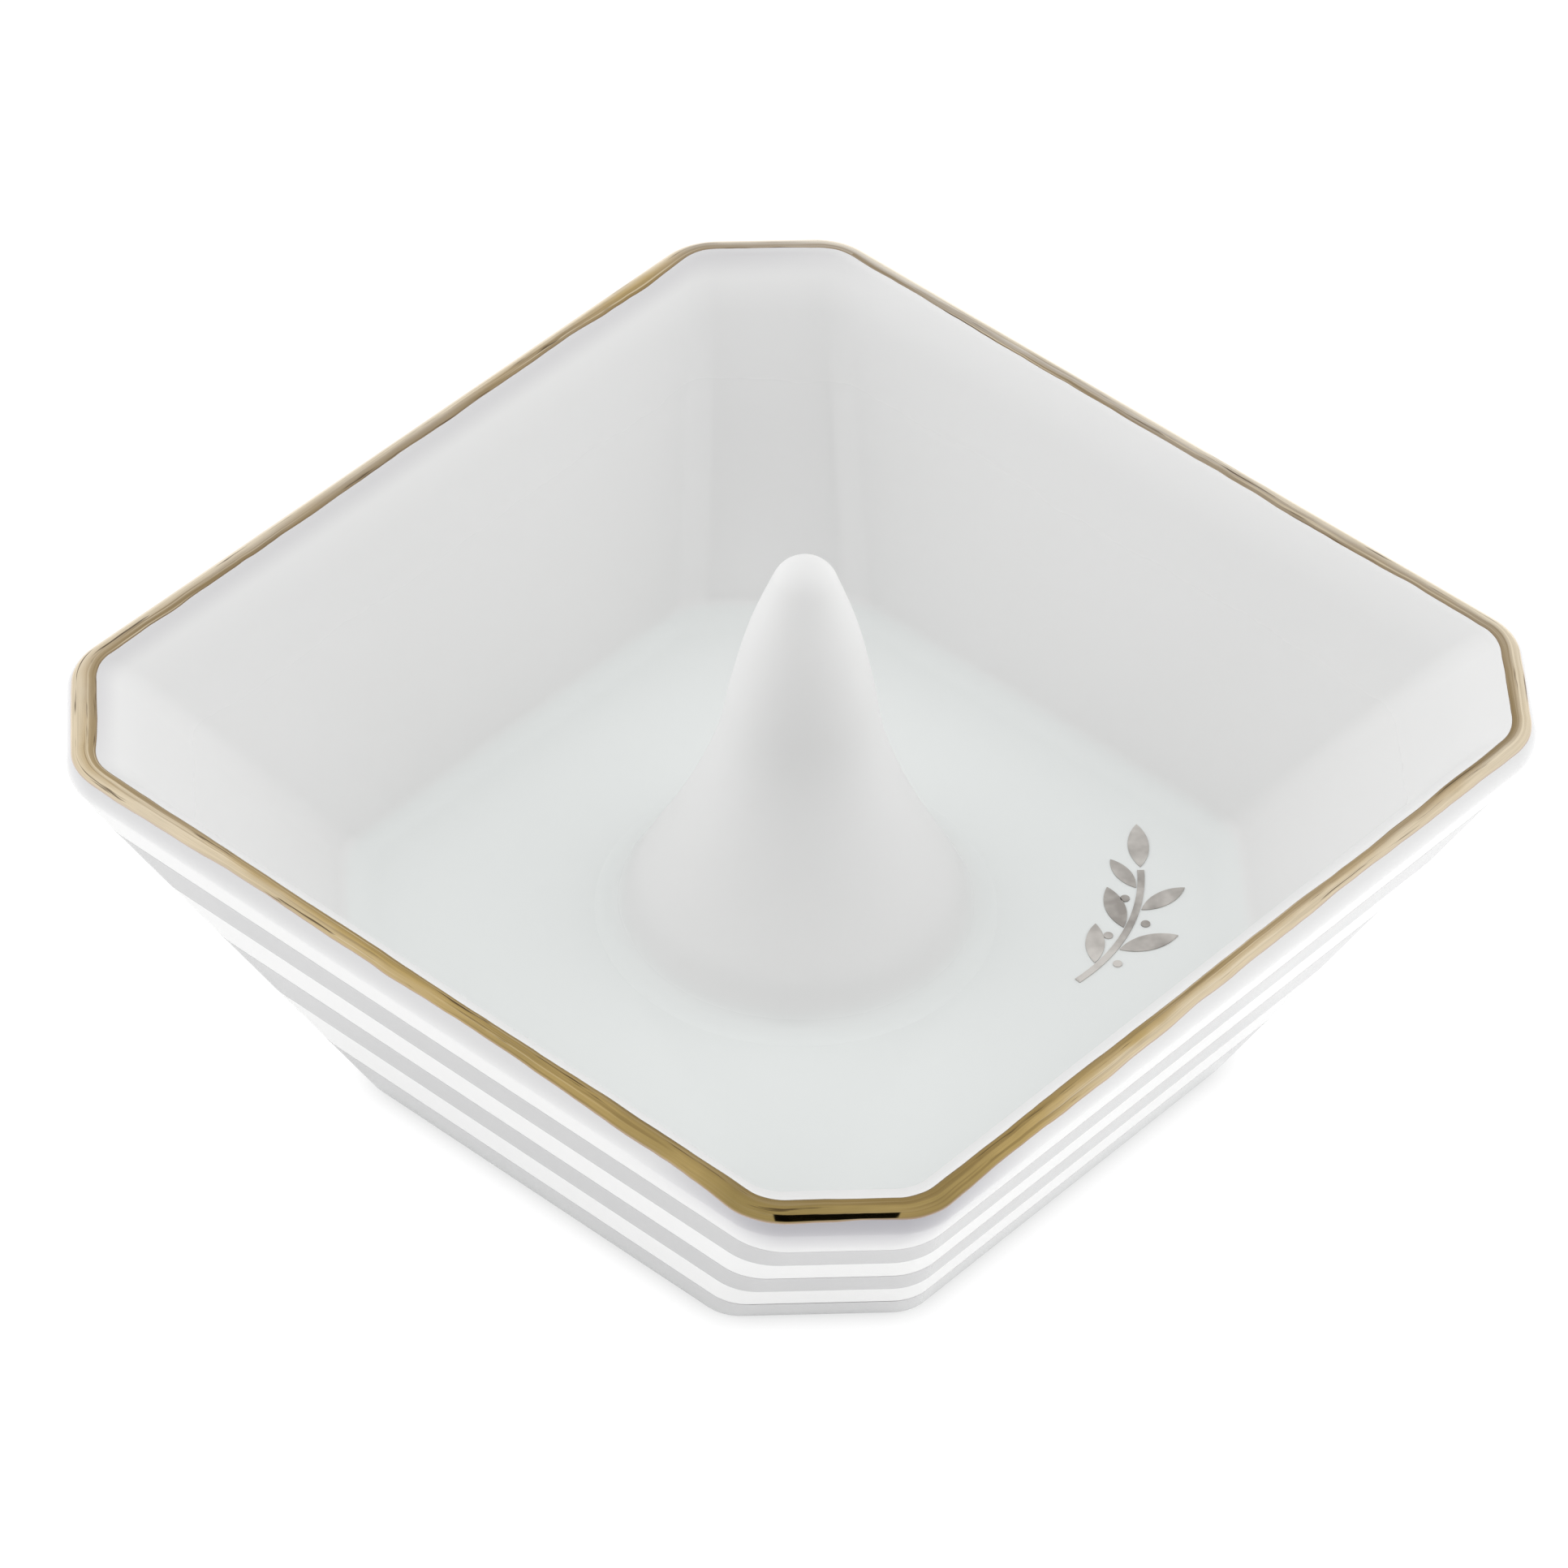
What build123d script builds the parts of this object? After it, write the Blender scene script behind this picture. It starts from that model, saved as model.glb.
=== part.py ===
from build123d import *
import math
import os

# Ring dish: a square porcelain bowl with cut corners and leaning walls, a hollow ring cone standing
# on its floor, a gilt band over the lip, three grey stripes printed round the outside and a small
# lustre sprig printed on the floor.
# Millimetres, Z up. The origin is the centre of the foot, on the surface that the dish stands on.

# Dish outline
dish_width = 100.6  # across the flats of the lip
dish_height = 38.1  # foot to the crown of the lip
lip_thickness = 3.4  # the lip is a full round bead
foot_half_width = 32.6  # the outside runs straight from here to the bead
corner_cut_lip = 9.3  # leg of the cut corner at the middle of the lip
corner_cut_stripe = 9.6  # the same at the top edge of the highest stripe
corner_cut_foot = 11.6  # the same at the foot
corner_cut_floor = 11.1  # the same inside, at the floor
corner_round_lip = 5.0  # round of the upright corner edges at the middle of the lip and inside
corner_round_stripe = 6.5  # the same at the top edge of the highest stripe
corner_round_foot = 4.0  # the same at the foot
foot_round = 0.7
foot_land = 4.0  # width of the flat unglazed ring that the dish stands on

# Stripes round the outside, from the foot up: grey and plain in turn, beginning with a grey one
stripe_height = 6.25
stripe_count = 5
print_film = 0.1  # thickness of everything that is printed

# Inside
floor_height = 13.1  # foot to the floor inside
floor_overhang = 0.8  # the line where wall and floor would meet lies this far outside the foot
floor_fillet = 2.6
floor_thickness = 4.0
recess_draft = 1.2  # how far the wall under the floor leans in
recess_fillet = 1.6
inner_flare_slope = 50.0  # lean where the inside runs into the lip, degrees
inner_flare_width = 2.7
inner_flare_height = 3.4
inner_flare_steps = 5
bead_steps = 17
fillet_steps = 4

# Ring cone
cone_height = 40.5
cone_base_radius = 17.0
cone_wall = 3.2
cone_tip_radius = 3.0
cone_base_slope = 45.0  # lean from the vertical where the skirt meets the floor, degrees
cone_tip_slope = 20.0  # lean where the flank runs into the tip, degrees
# Radius as a share of the base radius, height as a share of the cone's height
cone_flank_shares = [(0.82, 0.114), (0.571, 0.333), (0.435, 0.50), (0.365, 0.66), (0.272, 0.825)]
hollow_end_share = 1.35  # the hollow ends where the cone is no wider than this many walls

# Gilt band over the lip
gilt_film = 0.12
gilt_low_angle = 38.0  # on the outside, above the widest point of the lip, degrees
gilt_high_angle = 110.0  # on the inside, past the crown, degrees

# Lustre sprig on the floor, in the corner at +X and -Y, drawn to fit the floor's half width
sprig_root_x_share = 0.293  # root of the stem, shares of the floor's half width
sprig_root_y_share = -0.734
sprig_length_share = 0.467
sprig_rise_share = 0.333  # how far the tip lies inwards of the root, share of the length
sprig_bow_share = 0.109  # bow of the stem, share of the length
stem_width_share = 0.04
leaf_length_share = 0.359
leaf_slim_share = 0.34  # width of a leaf, share of its own length
leaf_gap = 0.12  # between stem and leaf
leaf_angle = 38.0  # leaf to stem, degrees
leaf_shares = [0.14, 0.31, 0.48, 0.65, 0.82]  # along the stem, on alternate sides
leaf_size_shares = [0.9, 1.0, 0.96, 0.88, 0.76]
berry_radius_share = 0.027
berry_reach_share = 0.08  # middle of the stem to the middle of the berry, share of the length
berry_shares = [0.245, 0.415, 0.585, 0.755]  # each past a leaf, on the other side

overrun = 2.0  # cutting shapes run past the faces they open by this much

# Worked out from the sizes above
lip_radius = lip_thickness / 2
lip_line = dish_width / 2 - lip_radius
lip_height = dish_height - lip_radius
wall_run = lip_line - foot_half_width
wall_lean = math.atan2(wall_run, lip_height) + math.asin(lip_radius / math.hypot(wall_run, lip_height))
wall_start = foot_round * math.cos(wall_lean)  # height where the round of the foot ends
stripes_top = stripe_count * stripe_height
floor_half_width = foot_half_width + floor_overhang
recess_height = floor_height - floor_thickness
cone_mouth_radius = cone_base_radius - cone_wall
sprig_length = floor_half_width * sprig_length_share
sprig_rise = sprig_length * sprig_rise_share
stem_width = sprig_length * stem_width_share
leaf_length = sprig_length * leaf_length_share
cut_growth = 2 - math.sqrt(2)  # a parallel outline changes its cut by this much per unit of width


def mix(start, end, share):
    return start + (end - start) * share


def octagon(half_width, cut, edge_round, height):
    # Square with cut corners and softly rounded corner edges, level at the given height
    inner = half_width - cut
    corners = [
        (inner, half_width, height),
        (half_width, inner, height),
        (half_width, -inner, height),
        (inner, -half_width, height),
        (-inner, -half_width, height),
        (-half_width, -inner, height),
        (-half_width, inner, height),
        (-inner, half_width, height),
    ]
    return FilletPolyline(*corners, radius=edge_round, close=True)


def lip_octagon(half_width, height):
    # On the lip every outline is parallel to the line along its middle
    offset = half_width - lip_line
    return octagon(half_width, corner_cut_lip + offset * cut_growth, corner_round_lip + offset, height)


def wall_octagon(height, film=0):
    # The outside of the wall up to the top of the stripes, or of a film printed on it
    share = height / stripes_top
    grow = film / math.cos(wall_lean)
    half_width = foot_half_width + height * math.tan(wall_lean) + grow
    cut = mix(corner_cut_foot, corner_cut_stripe, share) + grow * cut_growth
    edge_round = mix(corner_round_foot, corner_round_stripe, share) + grow
    return octagon(half_width, cut, edge_round, height)


def bead_point(angle):
    turn = math.radians(angle)
    return lip_line + lip_radius * math.cos(turn), lip_height + lip_radius * math.sin(turn)


def curve_points(curve, steps):
    # Points after the curve's start, up to and with its end
    places = [curve @ (number / steps) for number in range(1, steps + 1)]
    return [(place.X, place.Y) for place in places]


def outside_sections():
    # The round edge of the foot, then straight up the wall to the top of the stripes
    start = (foot_half_width - foot_round, 0)
    end = (foot_half_width + foot_round * math.sin(wall_lean), wall_start)
    turn = TangentArc(start, end, tangent=(1, 0))
    outline = [start] + curve_points(turn, fillet_steps)[:-1]
    foot = [octagon(w, corner_cut_foot, corner_round_foot, h) for w, h in outline]
    return foot + [wall_octagon(wall_start), wall_octagon(stripes_top)]


def bead_sections():
    # Over the lip, from the outside to the inside
    first = -math.degrees(wall_lean)
    last = 180 - inner_flare_slope
    angles = [mix(first, last, number / bead_steps) for number in range(bead_steps + 1)]
    return [lip_octagon(*bead_point(angle)) for angle in angles]


def inside_sections():
    # From the lip down the inner wall and round the fillet to the flat floor
    lean = math.radians(inner_flare_slope)
    lip_w, lip_h = bead_point(180 - inner_flare_slope)
    wall_top = (lip_w - inner_flare_width, lip_h - inner_flare_height)
    flare = TangentArc((lip_w, lip_h), wall_top, tangent=(-math.sin(lean), -math.cos(lean)))
    fillet_path = FilletPolyline(
        wall_top, (floor_half_width, floor_height), (0, floor_height), radius=floor_fillet
    )
    fillet_arc = fillet_path.edges().filter_by(GeomType.CIRCLE)[0]
    arc_start = fillet_arc @ 0
    outline = curve_points(flare, inner_flare_steps)
    outline.append((arc_start.X, arc_start.Y))
    outline += curve_points(fillet_arc, fillet_steps)
    offset = lip_w - lip_line
    cut_start = corner_cut_lip + offset * cut_growth
    sections = []
    for w, h in outline:
        share = (lip_h - h) / (lip_h - floor_height)
        edge_round = mix(corner_round_lip + offset, corner_round_lip, share)
        sections.append(octagon(w, mix(cut_start, corner_cut_floor, share), edge_round, h))
    return sections


def recess_under_floor():
    # Room inside the foot ring, leaning in so that it leaves its mould
    mouth = foot_half_width - foot_land
    roof = mouth - recess_draft
    fillet_path = FilletPolyline(
        (mouth, 0), (roof, recess_height), (0, recess_height), radius=recess_fillet
    )
    fillet_arc = fillet_path.edges().filter_by(GeomType.CIRCLE)[0]
    arc_start = fillet_arc @ 0
    below = (mouth + recess_draft * overrun / recess_height, -overrun)
    outline = [below, (arc_start.X, arc_start.Y)] + curve_points(fillet_arc, fillet_steps)
    cut = corner_cut_foot - foot_land * cut_growth
    return Solid.make_loft([octagon(w, cut, corner_round_foot, h) for w, h in outline], ruled=True)


def dish_shell():
    sections = outside_sections() + bead_sections() + inside_sections()
    body = Solid.make_loft(sections, ruled=True)
    mouth = Cylinder(cone_mouth_radius, floor_thickness + 2 * overrun)
    middle = floor_height - floor_thickness / 2
    return body - recess_under_floor() - Pos(0, 0, middle) * mouth


def cone_outline():
    # Outer flank points from above the base up to the start of the round tip
    lean = math.radians(cone_tip_slope)
    flank = [(cone_base_radius * r, cone_height * h) for r, h in cone_flank_shares]
    centre = cone_height - cone_tip_radius
    tip_start = (cone_tip_radius * math.cos(lean), centre + cone_tip_radius * math.sin(lean))
    return flank, tip_start


def ring_cone():
    flank, tip_start = cone_outline()
    base_lean = math.radians(cone_base_slope)
    tip_lean = math.radians(cone_tip_slope)
    base_way = (-math.sin(base_lean), math.cos(base_lean))
    tip_way = (-math.sin(tip_lean), math.cos(tip_lean))
    outside = Spline((cone_base_radius, 0), *flank, tip_start, tangents=(base_way, tip_way))
    tip = TangentArc(tip_start, (0, cone_height), tangent=tip_way)
    hollow = [(r - cone_wall, h) for r, h in flank if r > cone_wall * hollow_end_share]
    end_radius, end_height = hollow[-1]
    inside = Spline((cone_mouth_radius, 0), *hollow, tangents=(base_way, (0, 1)))
    crown = TangentArc(hollow[-1], (0, end_height + end_radius), tangent=(0, 1))
    seat = Line((cone_mouth_radius, 0), (cone_base_radius, 0))
    axis = Line((0, cone_height), (0, end_height + end_radius))
    profile = Plane.XZ * make_face([seat, outside, tip, axis, crown, inside])
    return Pos(0, 0, floor_height) * revolve(profile, Axis.Z)


def gilt_rim_band():
    # Thin film over the lip: a slice of a ring round the bead, swept round the dish
    path = lip_octagon(lip_line, lip_height)
    forward = path % 0
    outward = Vector(0, 0, 1).cross(forward)
    span = gilt_high_angle - gilt_low_angle
    inner = CenterArc((0, 0), lip_radius, gilt_low_angle, span)
    outer = CenterArc((0, 0), lip_radius + gilt_film, gilt_low_angle, span)
    ends = [Line(inner @ 0, outer @ 0), Line(inner @ 1, outer @ 1)]
    section = Plane(origin=path @ 0, x_dir=outward, z_dir=forward) * make_face([inner, outer] + ends)
    return sweep(section, path=path)


def stripe(number):
    # Film on the wall, counted from the foot; the lowest starts above the round of the foot
    low = max(number * stripe_height, wall_start)
    high = (number + 1) * stripe_height
    outside = Solid.make_loft([wall_octagon(h, print_film) for h in (low, high)], ruled=True)
    return outside - Solid.make_loft([wall_octagon(h) for h in (low, high)], ruled=True)


def print_layer(sketches):
    return Pos(0, 0, floor_height) * extrude(Sketch() + sketches, print_film)


def stem_line():
    root = Vector(floor_half_width * sprig_root_x_share, floor_half_width * sprig_root_y_share)
    tip = root + Vector(math.sqrt(sprig_length**2 - sprig_rise**2), sprig_rise)
    along = (tip - root).normalized()
    middle = (root + tip) * 0.5 + Vector(along.Y, -along.X) * sprig_length * sprig_bow_share
    return ThreePointArc(root, middle, tip)


def stem_heading(stem, place):
    way = stem % place
    return math.degrees(math.atan2(way.Y, way.X))


def leaf(length):
    # Pointed oval from the origin along X
    half_width = length * leaf_slim_share / 2
    top = ThreePointArc((0, 0), (length / 2, half_width), (length, 0))
    bottom = ThreePointArc((0, 0), (length / 2, -half_width), (length, 0))
    return make_face([top, bottom])


def sprig_stem():
    return print_layer([trace(stem_line(), stem_width)])


def sprig_leaves():
    stem = stem_line()
    start = (stem_width / 2 + leaf_gap) / math.sin(math.radians(leaf_angle))
    leaves = []
    for number, (place, size) in enumerate(zip(leaf_shares, leaf_size_shares)):
        side = -1 if number % 2 else 1
        heading = stem_heading(stem, place) + side * leaf_angle
        spot = stem @ place
        leaves.append(Pos(spot.X, spot.Y) * Rot(0, 0, heading) * Pos(start, 0) * leaf(leaf_length * size))
    tip = stem @ 1
    end_gap = stem_width / 2 + leaf_gap
    end_leaf = Pos(end_gap, 0) * leaf(leaf_length)
    leaves.append(Pos(tip.X, tip.Y) * Rot(0, 0, stem_heading(stem, 1)) * end_leaf)
    return print_layer(leaves)


def sprig_berries():
    stem = stem_line()
    reach = sprig_length * berry_reach_share
    berry = Circle(sprig_length * berry_radius_share)
    berries = []
    for number, place in enumerate(berry_shares):
        side = 1 if number % 2 else -1
        spot = stem @ place
        turn = Rot(0, 0, stem_heading(stem, place))
        berries.append(Pos(spot.X, spot.Y) * turn * Pos(0, side * reach) * berry)
    return print_layer(berries)


os.makedirs("parts", exist_ok=True)
export_step(dish_shell(), "parts/dish_shell.step")
export_step(ring_cone(), "parts/ring_cone.step")
export_step(gilt_rim_band(), "parts/gilt_rim_band.step")
export_step(stripe(0), "parts/stripe_low.step")
export_step(stripe(2), "parts/stripe_middle.step")
export_step(stripe(4), "parts/stripe_high.step")
export_step(sprig_stem(), "parts/sprig_stem.step")
export_step(sprig_leaves(), "parts/sprig_leaves.step")
export_step(sprig_berries(), "parts/sprig_berries.step")
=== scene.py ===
import math

import bmesh
import bpy
from mathutils import Matrix, Vector, noise
from mathutils.geometry import interpolate_bezier


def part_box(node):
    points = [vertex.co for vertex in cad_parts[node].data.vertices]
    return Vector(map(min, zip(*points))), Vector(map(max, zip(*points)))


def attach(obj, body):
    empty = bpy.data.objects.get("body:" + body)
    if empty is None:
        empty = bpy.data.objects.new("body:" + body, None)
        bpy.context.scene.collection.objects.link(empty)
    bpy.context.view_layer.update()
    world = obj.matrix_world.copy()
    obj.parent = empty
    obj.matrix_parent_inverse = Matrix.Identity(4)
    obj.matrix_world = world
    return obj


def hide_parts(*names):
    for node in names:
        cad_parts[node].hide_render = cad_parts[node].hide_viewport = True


mm = 0.001

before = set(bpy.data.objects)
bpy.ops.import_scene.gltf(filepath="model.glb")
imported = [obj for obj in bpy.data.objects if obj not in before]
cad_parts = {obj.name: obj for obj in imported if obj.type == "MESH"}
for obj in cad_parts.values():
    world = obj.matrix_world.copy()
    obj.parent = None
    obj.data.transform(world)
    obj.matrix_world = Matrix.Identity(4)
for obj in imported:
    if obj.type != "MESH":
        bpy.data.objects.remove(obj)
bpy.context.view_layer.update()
print("frame loaded")


# The camera stands where the photograph was taken from; angles in degrees, places in mm
cameraView = {
    "bearing": 220.97,
    "elevation": 42.43,
    "roll": 1.51,
    "distance": 812.0,
    "lens": 216.4,
    "sensor": 36.0,
    "target": (-9.1, -6.1, 37.7),
    "clip": (10.0, 10000.0),  # nearest and furthest distance that it sees
}


def makeCamera(cam):
    bearing, elevation, roll = (math.radians(cam[key]) for key in ("bearing", "elevation", "roll"))
    away = Vector((
        math.cos(bearing) * math.cos(elevation),
        math.sin(bearing) * math.cos(elevation),
        math.sin(elevation),
    ))
    level = (-away).cross(Vector((0, 0, 1))).normalized()
    upward = level.cross(-away)
    right = level * math.cos(roll) + upward * math.sin(roll)
    up = upward * math.cos(roll) - level * math.sin(roll)
    data = bpy.data.cameras.new("photoCamera")
    data.lens = cam["lens"]
    data.sensor_width = cam["sensor"]
    data.clip_start, data.clip_end = (distance * mm for distance in cam["clip"])
    camera = bpy.data.objects.new("photoCamera", data)
    turn = Matrix((right, up, away)).transposed().to_4x4()
    stand = Vector(cam["target"]) + away * cam["distance"]
    camera.matrix_world = Matrix.Translation(stand * mm) @ turn
    bpy.context.scene.collection.objects.link(camera)
    bpy.context.scene.camera = camera


makeCamera(cameraView)
print("camera placed")


# Mesh helpers

mergeDistance = 0.001 * mm  # points closer than this become one


def newObject(name, bm, materials):
    mesh = bpy.data.meshes.new(name)
    bm.to_mesh(mesh)
    bm.free()
    for material in materials:
        mesh.materials.append(material)
    made = bpy.data.objects.new(name, mesh)
    bpy.context.scene.collection.objects.link(made)
    return made


def newPiece(name, bm, materials, node):
    # A finished piece: placed in its mesh, smooth, riding on the dish and standing for its node
    piece = newObject(name, bm, materials)
    piece.data.shade_smooth()
    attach(piece, "root")
    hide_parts(node)
    return piece


def ringSeats(arcSteps, sideCuts=0, cornerCuts=0):
    # The places of the points round a square with cut corners, read from the +X side: the number
    # of the rounded edge, how far round it, and how far on along the straight after it.
    # The straights after even edges are cut corners, the others are sides.
    seats = []
    for edge in range(8):
        seats += [(edge, step / arcSteps, 0.0) for step in range(arcSteps + 1)]
        cuts = cornerCuts if edge % 2 == 0 else sideCuts
        seats += [(edge, 1.0, step / (cuts + 1)) for step in range(1, cuts + 1)]
    return seats


def seatPoint(seat, width, cut, edgeRound, height):
    # Where a place of ringSeats lies on an outline of the given half width, cut and edge round
    def onArc(edge, turn):
        eighth = math.pi / 4
        outer = (width - edgeRound, (2 * width - cut) / math.sqrt(2) - edgeRound)
        near, far = outer if edge % 2 == 0 else reversed(outer)
        middle = Vector((near, (far - near * math.cos(eighth)) / math.sin(eighth), 0))
        spoke = Vector((math.cos(turn * eighth), math.sin(turn * eighth), 0)) * edgeRound
        point = Matrix.Rotation(math.radians(45 * edge), 3, "Z") @ (middle + spoke)
        point.z = height
        return point

    edge, turn, along = seat
    start = onArc(edge, turn)
    return start.lerp(onArc((edge + 1) % 8, 0.0), along) if along else start


def growRings(bm, rings):
    # Joins rings of points, each given as a list, by drawing one out of the other, and gives the
    # edges of the first and the last. Each point keeps its number in the ring and its ring's own.
    seatLayer = bm.verts.layers.int.new("seat")
    ringLayer = bm.verts.layers.int.new("ring")
    start = bmesh.ops.create_circle(bm, cap_ends=False, segments=len(rings[0]), radius=1)
    for number, vert in enumerate(start["verts"]):
        vert[seatLayer] = number
        vert.co = rings[0][number]
    first = ring = list(bm.edges)
    for ringNumber, points in enumerate(rings[1:], start=1):
        made = bmesh.ops.extrude_edge_only(bm, edges=ring)["geom"]
        fresh = {g for g in made if isinstance(g, bmesh.types.BMVert)}
        for vert in fresh:
            vert.co = points[vert[seatLayer]]
            vert[ringLayer] = ringNumber
        ring = [g for g in made if isinstance(g, bmesh.types.BMEdge) and fresh.issuperset(g.verts)]
    return first, ring


def softCorner(before, corner, after, soft, steps=4):
    # Points of a small round in place of a corner of an outline; two thirds make it a parabola
    before, corner, after = (Vector(point) for point in (before, corner, after))
    start = corner + (before - corner).normalized() * soft
    end = corner + (after - corner).normalized() * soft
    handles = start.lerp(corner, 2 / 3), end.lerp(corner, 2 / 3)
    return [tuple(point) for point in interpolate_bezier(start, *handles, end, steps + 1)]


def smoothSpans(points, startWay, endWay, steps):
    # A smooth curve through the points, leaving and ending along the two given directions
    points = [Vector(point) for point in points]
    ways = [Vector(startWay).normalized()]
    for before, middle, after in zip(points, points[1:], points[2:]):
        back, ahead = middle - before, after - middle
        way = back / back.length * ahead.length + ahead / ahead.length * back.length
        ways.append(way.normalized())
    ways.append(Vector(endWay).normalized())
    curve = [points[0]]
    for start, end, leave, arrive in zip(points, points[1:], ways, ways[1:]):
        reach = (end - start).length / 3
        handles = start + leave * reach, end - arrive * reach
        curve += interpolate_bezier(start, *handles, end, steps + 1)[1:]
    return curve


# Dish: lengths in mm. A cut is the leg of a cut corner. Width and height come from the frame.

dishForm = {
    "lipThickness": 3.4,
    "footHalfWidth": 32.6,
    "cutLip": 9.3,
    "cutStripe": 9.6,  # at the top edge of the highest stripe
    "cutFoot": 11.6,
    "cutFloor": 11.1,
    "roundLip": 5.0,  # round of the upright corner edges
    "roundStripe": 6.5,
    "roundFoot": 4.0,
    "cornerSteps": 12,
    "sideCuts": 17,  # points along the straights, for the round hole in the floor
    "cornerCuts": 3,
    "stripeHeight": 6.25,
    "stripeCount": 5,
    "footSoft": 0.7,  # how far the small rounds reach to each side of a corner
    "footLand": 4.0,  # width of the ring that the dish stands on
    "landSoft": 0.5,
    "bareBelow": 0.05,  # faces lower than this carry no glaze
    "floorOverhang": 0.8,  # how much wider the floor is than the foot
    "floorHeight": 13.1,
    "floorThickness": 4.0,
    "floorSoft": 1.7,
    "floorSteps": 8,
    "recessDraft": 1.2,
    "recessSoft": 1.2,
    "innerFlareSlope": 50.0,  # degrees from level at which the bead passes into the flare
    "innerFlareWidth": 2.7,
    "innerFlareHeight": 3.4,
    "innerFlareSteps": 16,
    "beadSteps": 34,
    "swellSteps": 8,
    "mouthRadius": 13.8,  # of the hole under the cone
}

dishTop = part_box("dish_shell")[1]
lipRadius = dishForm["lipThickness"] / 2
lipLine = dishTop.x / mm - lipRadius  # half width and height of the middle of the bead
lipHeight = dishTop.z / mm - lipRadius
cutGrowth = 2 - math.sqrt(2)  # how much the cut grows when the outline moves out by one
wallRun = lipLine - dishForm["footHalfWidth"]
wallLean = math.atan2(wallRun, lipHeight) + math.asin(lipRadius / math.hypot(wallRun, lipHeight))


def mix(start, end, share):
    return start + (end - start) * share


def beadStation(angle):
    # The lip's bead at an angle from its widest line: half width, cut, edge round and height
    turn = math.radians(angle)
    offset = lipRadius * math.cos(turn)
    cut = dishForm["cutLip"] + offset * cutGrowth
    height = lipHeight + lipRadius * math.sin(turn)
    return lipLine + offset, cut, dishForm["roundLip"] + offset, height


def wallStation(form, height, film=0.0):
    # Outline of the outside at a height up to the top of the stripes, or of a film on it
    share = height / (form["stripeCount"] * form["stripeHeight"])
    grow = film / math.cos(wallLean)
    width = form["footHalfWidth"] + height * math.tan(wallLean) + grow
    cut = mix(form["cutFoot"], form["cutStripe"], share) + grow * cutGrowth
    return width, cut, mix(form["roundFoot"], form["roundStripe"], share) + grow, height


def flareCurve(start, startSlope, end, beyond, steps):
    # From a point on the bead to the wall beside it: a hollow curve that leaves along the bead
    # and arrives along the wall
    slope = math.radians(startSlope)
    start, end = Vector(start), Vector(end)
    leave = Vector((-math.sin(slope), -math.cos(slope)))
    arrive = (Vector(beyond) - end).normalized()
    reach = (end - start).length / 3
    return interpolate_bezier(start, start + leave * reach, end - arrive * reach, end, steps + 1)


def dishStations(form):
    footWidth = form["footHalfWidth"]
    landWidth = footWidth - form["footLand"]
    roofHeight = form["floorHeight"] - form["floorThickness"]
    roofWidth = landWidth - form["recessDraft"]
    roofCut = form["cutFoot"] - form["footLand"] * cutGrowth
    stripesTop = form["stripeCount"] * form["stripeHeight"]

    # Under the floor, inside the foot ring, and the land that the dish stands on
    roofCorner = (roofWidth, roofHeight)
    recess = softCorner((0, roofHeight), roofCorner, (landWidth, 0), form["recessSoft"])
    land = softCorner(roofCorner, (landWidth, 0), (footWidth, 0), form["landSoft"])
    stations = [(w, roofCut, form["roundFoot"], h) for w, h in recess + land]

    # Round edge of the foot and the straight wall
    wallTop = wallStation(form, stripesTop)
    foot = softCorner((landWidth, 0), (footWidth, 0), (wallTop[0], wallTop[3]), form["footSoft"])
    stations += [(w, form["cutFoot"], form["roundFoot"], h) for w, h in foot]
    stations.append(wallTop)

    # Above the stripes the cut swells, so that the cut corners run smoothly into the bead
    firstAngle = -math.degrees(wallLean)
    beadStart = beadStation(firstAngle)
    third = (beadStart[3] - wallTop[3]) / 3
    below, above = Vector((wallTop[3], wallTop[1])), Vector((beadStart[3], beadStart[1]))
    leave = Vector((third, third * (form["cutStripe"] - form["cutFoot"]) / stripesTop))
    arrive = Vector((third, third * cutGrowth * math.tan(wallLean)))
    swell = interpolate_bezier(below, below + leave, above - arrive, above, form["swellSteps"] + 1)
    for h, cut in swell[1:-1]:
        share = (h - wallTop[3]) / (third * 3)
        width, edgeRound = (mix(wallTop[place], beadStart[place], share) for place in (0, 2))
        stations.append((width, cut, edgeRound, h))

    # Over the bead
    lastAngle = 180 - form["innerFlareSlope"]
    for number in range(form["beadSteps"] + 1):
        stations.append(beadStation(mix(firstAngle, lastAngle, number / form["beadSteps"])))

    # Down the flare and the inner wall to the floor
    w, cut, edgeRound, h = stations[-1]
    flareEnd = (w - form["innerFlareWidth"], h - form["innerFlareHeight"])
    floorCorner = (footWidth + form["floorOverhang"], form["floorHeight"])
    flare = flareCurve(
        (w, h), form["innerFlareSlope"], flareEnd, floorCorner, form["innerFlareSteps"]
    )
    outline = [tuple(point) for point in flare[1:]]
    outline += softCorner(
        flareEnd, floorCorner, (0, form["floorHeight"]), form["floorSoft"], form["floorSteps"]
    )
    for width, z in outline:
        share = (h - z) / (h - form["floorHeight"])
        stations.append((
            width, mix(cut, form["cutFloor"], share), mix(edgeRound, form["roundLip"], share), z,
        ))
    return stations


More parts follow.
